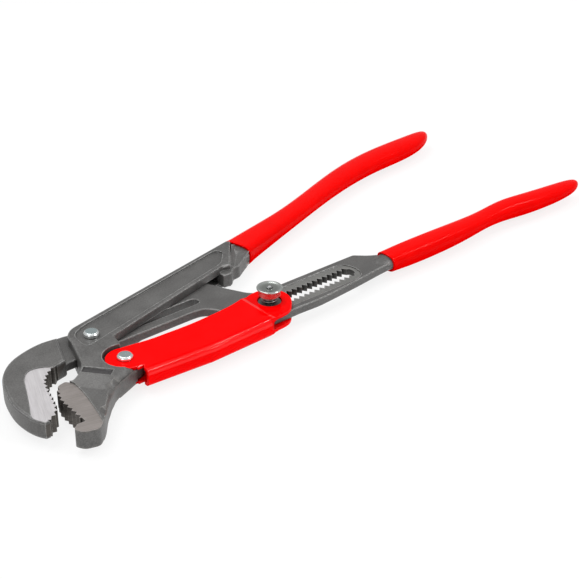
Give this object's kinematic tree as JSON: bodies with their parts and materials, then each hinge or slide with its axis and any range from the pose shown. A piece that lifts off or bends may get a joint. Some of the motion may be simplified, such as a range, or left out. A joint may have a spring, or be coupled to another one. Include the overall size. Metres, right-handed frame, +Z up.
{
  "type": "pipe pliers",
  "caption": "Adjustable pipe pliers with a curved hook jaw, a toothed fixed jaw, a channel link with a spring lock button in a toothed slot, and dipped grips.",
  "frame": {"origin": "centre of the flat on the lower head of the guide rivet, the face that the lying tool rests on", "axes": "+X along the guide slot and the toothed slot towards the handles, +Y towards the upper handle, +Z up through the button side"},
  "size_m": [0.5602, 0.2225, 0.0294],
  "materials": {
    "forging": "drop forged steel, dark phosphated, with bright ground jaw flats",
    "link_paint": "glossy red powder coat on bent sheet steel",
    "grip": "red dipped vinyl, soft gloss",
    "zinc": "bright zinc plated, turned",
    "spring": "drawn spring wire"
  },
  "bodies": {
    "upper": {"upper_handle_fixed_jaw": "forging", "upper_grip": "grip", "guide_rivet": "zinc", "link_rivet": "zinc"},
    "link": {"link_channel": "link_paint", "spring_seat_washer": "zinc", "button_spring": "spring"},
    "lower": {"lower_handle_hook_jaw": "forging", "lower_grip": "grip"},
    "button": {"button_cap": "zinc", "lock_bolt": "zinc", "retaining_washer": "zinc"}
  },
  "joints": [
    {"name": "squeeze", "type": "hinge", "parent": "upper", "child": "link", "pos_m": [0.002, -0.0385, 0.0118], "axis": [0, 0, 1], "range_deg": [-10, 3]},
    {"name": "adjust", "type": "slide", "parent": "link", "child": "lower", "axis": [1, 0, 0], "range_m": [-0.06, 0]},
    {"name": "press", "type": "slide", "parent": "link", "child": "button", "axis": [0, 0, -1], "range_m": [0, 0.006], "stiffness_N_per_m": 800, "springref_m": -0.008, "deforming": ["button_spring"]}
  ]
}
